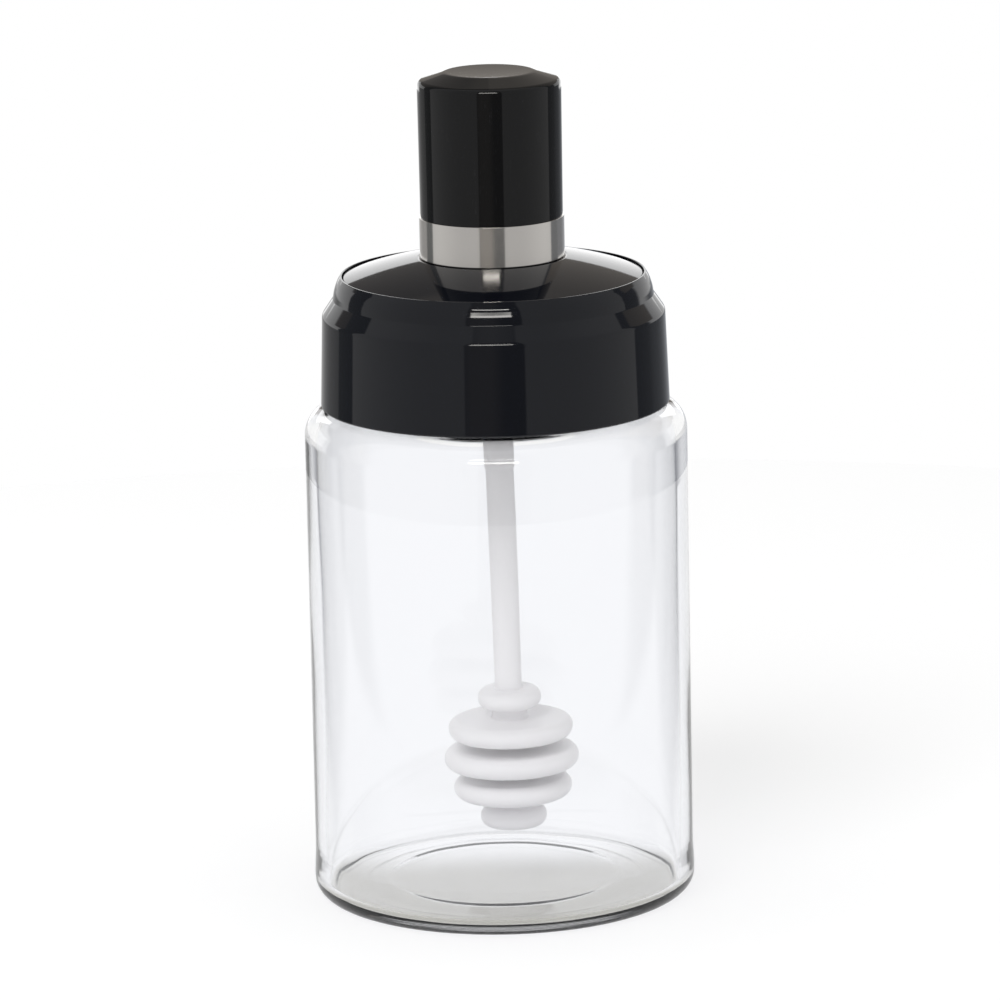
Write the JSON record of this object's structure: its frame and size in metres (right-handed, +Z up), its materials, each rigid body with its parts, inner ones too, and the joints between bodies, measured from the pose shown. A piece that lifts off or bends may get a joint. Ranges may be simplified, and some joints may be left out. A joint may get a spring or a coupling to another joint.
{
  "type": "honey jar with dipper",
  "caption": "Cylindrical clear glass jar with a black collar and a knobbed stopper that carries a ringed dipper hanging inside.",
  "frame": {"origin": "centre of the jar's foot, on the surface it stands on", "axes": "+Z up along the jar's axis; the dipper leans a little towards +X"},
  "size_m": [0.0656, 0.0656, 0.1425],
  "materials": {
    "jar_glass": "clear flint glass, fire polished",
    "black_plastic": "glossy moulded ABS",
    "band_steel": "polished stainless sleeve with fine turned lines",
    "dipper_plastic": "milky translucent polypropylene"
  },
  "bodies": {
    "root": {"glass_jar": "jar_glass", "collar": "black_plastic", "stopper": "black_plastic", "steel_band": "band_steel", "knob": "black_plastic", "dipper": "dipper_plastic"}
  },
  "joints": []
}
